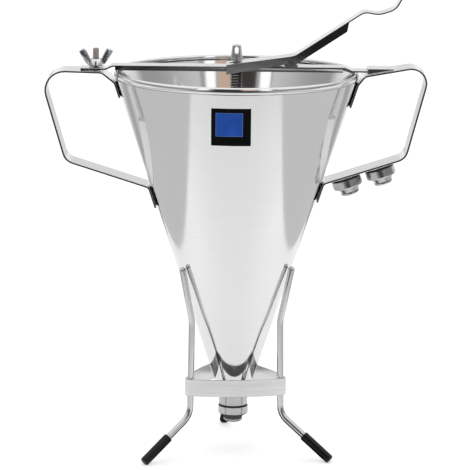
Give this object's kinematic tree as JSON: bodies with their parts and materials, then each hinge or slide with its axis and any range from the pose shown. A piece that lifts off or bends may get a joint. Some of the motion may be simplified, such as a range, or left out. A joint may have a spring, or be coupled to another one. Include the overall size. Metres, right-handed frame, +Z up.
{
  "type": "piston funnel",
  "caption": "Steel piston funnel with a sprung valve worked by a thumb lever, two strap handles, screw-on nozzles and a three-legged wire stand.",
  "frame": {"origin": "on the cone's axis at the table under the stand's feet", "axes": "+Z up along the cone's axis, +X towards the handle that the lever reaches over, -Y towards the front with the label"},
  "size_m": [0.2802, 0.18, 0.3462],
  "materials": {
    "polished_steel": "satin polish",
    "brushed_steel": "brushed",
    "wire_steel": "drawn wire",
    "spring_wire": "dark spring wire",
    "seal_rubber": "matte",
    "black_vinyl": "glossy dip",
    "label_print": "blank printed foil"
  },
  "bodies": {
    "stand": {"stand_ring": "brushed_steel", "leg_front_left": "wire_steel", "leg_front_right": "wire_steel", "leg_rear": "wire_steel", "foot_cap_front_left": "black_vinyl", "foot_cap_front_right": "black_vinyl", "foot_cap_rear": "black_vinyl"},
    "funnel": {"funnel_cone": "polished_steel", "spout_collar": "brushed_steel", "left_handle": "brushed_steel", "right_handle": "brushed_steel", "bar_stud": "brushed_steel", "boss_inner": "brushed_steel", "boss_outer": "brushed_steel", "front_label": "label_print", "cross_bar": "brushed_steel", "lever_bracket": "brushed_steel", "pivot_pin": "polished_steel", "spring_washer": "polished_steel", "return_spring": "spring_wire"},
    "lever_arm": {"lever": "brushed_steel"},
    "piston": {"piston_rod": "brushed_steel", "rod_knob": "brushed_steel", "knob_washer": "brushed_steel", "spring_stop": "brushed_steel", "piston_plug": "brushed_steel", "plug_seal": "seal_rubber"},
    "nut_carrier": {"stud_washer": "polished_steel"},
    "nut": {"wing_nut": "polished_steel"},
    "fitted_seal": {"seal_fitted": "seal_rubber"},
    "fitted_nozzle": {"nozzle_fitted": "brushed_steel"},
    "inner_seal": {"seal_inner": "seal_rubber"},
    "inner_nozzle": {"nozzle_inner": "brushed_steel"},
    "outer_seal": {"seal_outer": "seal_rubber"},
    "outer_nozzle": {"nozzle_outer": "brushed_steel"}
  },
  "joints": [
    {"name": "funnel_lift", "type": "slide", "parent": "stand", "child": "funnel", "axis": [0, 0, 1], "range_m": [0, 0.125]},
    {"name": "lever_press", "type": "hinge", "parent": "funnel", "child": "lever_arm", "pos_m": [0.04, 0, 0.2946], "axis": [0, 1, 0], "range_deg": [0, 18]},
    {"name": "piston_slide", "type": "slide", "parent": "funnel", "child": "piston", "axis": [0, 0, 1], "range_m": [0, 0.0128], "stiffness_N_per_m": 5, "springref_m": -0.03, "deforming": ["return_spring"]},
    {"name": "wing_nut_rise", "type": "slide", "parent": "funnel", "child": "nut_carrier", "axis": [0, 0, 1], "range_m": [0, 0.0081]},
    {"name": "wing_nut_turn", "type": "hinge", "parent": "nut_carrier", "child": "nut", "pos_m": [-0.1033, 0, 0.291], "axis": [0, 0, 1], "range_deg": [0, 3600]},
    {"name": "fitted_nozzle_drop", "type": "slide", "parent": "funnel", "child": "fitted_seal", "axis": [0, 0, -1], "range_m": [0, 0.0061]},
    {"name": "fitted_nozzle_turn", "type": "hinge", "parent": "fitted_seal", "child": "fitted_nozzle", "pos_m": [0, 0, 0.036], "axis": [0, 0, -1], "range_deg": [0, 1440]},
    {"name": "inner_nozzle_drop", "type": "slide", "parent": "funnel", "child": "inner_seal", "axis": [0.3085, 0, -0.9512], "range_m": [0, 0.0061]},
    {"name": "inner_nozzle_turn", "type": "hinge", "parent": "inner_seal", "child": "inner_nozzle", "pos_m": [0.08137, 0, 0.20957], "axis": [0.3085, 0, -0.9512], "range_deg": [0, 1440]},
    {"name": "outer_nozzle_drop", "type": "slide", "parent": "funnel", "child": "outer_seal", "axis": [0.3085, 0, -0.9512], "range_m": [0, 0.0061]},
    {"name": "outer_nozzle_turn", "type": "hinge", "parent": "outer_seal", "child": "outer_nozzle", "pos_m": [0.10577, 0, 0.21748], "axis": [0.3085, 0, -0.9512], "range_deg": [0, 1440]}
  ],
  "couplings": [
    {"joint": "piston_slide", "follows": "lever_press", "m_per_rad": 0.0405},
    {"joint": "wing_nut_rise", "follows": "wing_nut_turn", "m_per_rad": 0.00012732},
    {"joint": "fitted_nozzle_drop", "follows": "fitted_nozzle_turn", "m_per_rad": 0.00023873},
    {"joint": "inner_nozzle_drop", "follows": "inner_nozzle_turn", "m_per_rad": 0.00023873},
    {"joint": "outer_nozzle_drop", "follows": "outer_nozzle_turn", "m_per_rad": 0.00023873}
  ]
}
